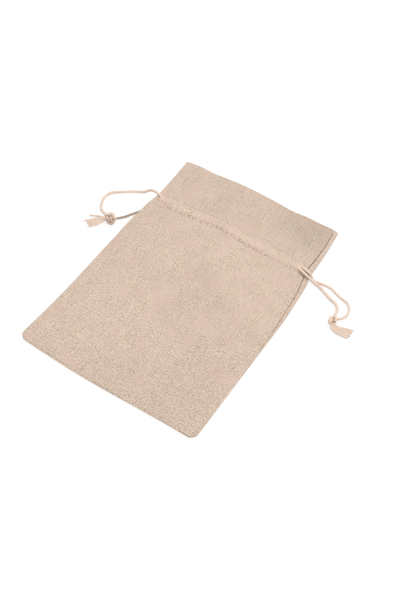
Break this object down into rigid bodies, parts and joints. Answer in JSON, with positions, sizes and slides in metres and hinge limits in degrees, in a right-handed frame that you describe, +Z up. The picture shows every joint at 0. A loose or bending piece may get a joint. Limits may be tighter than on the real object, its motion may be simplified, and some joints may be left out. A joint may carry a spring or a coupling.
{
  "type": "linen drawstring gift bag",
  "caption": "Flat linen pouch lying empty, with a deep heading above a stitched drawstring tunnel and a knotted cotton cord with frayed ends at each side.",
  "frame": {"origin": "on the floor under the middle of the bag's two panels", "axes": "+X across the bag to its right side, +Y along the bag to its mouth, +Z up from the surface it lies on"},
  "size_m": [0.2175, 0.198, 0.0095],
  "materials": {
    "linen": "matt plain weave with slubs",
    "cotton_cord": "matt twisted cotton"
  },
  "bodies": {
    "root": {"front_panel": "linen", "back_panel": "linen", "left_cord_front": "cotton_cord", "left_cord_back": "cotton_cord", "right_cord_inner": "cotton_cord", "right_cord_outer": "cotton_cord", "left_knot": "cotton_cord", "right_knot": "cotton_cord"}
  },
  "joints": []
}
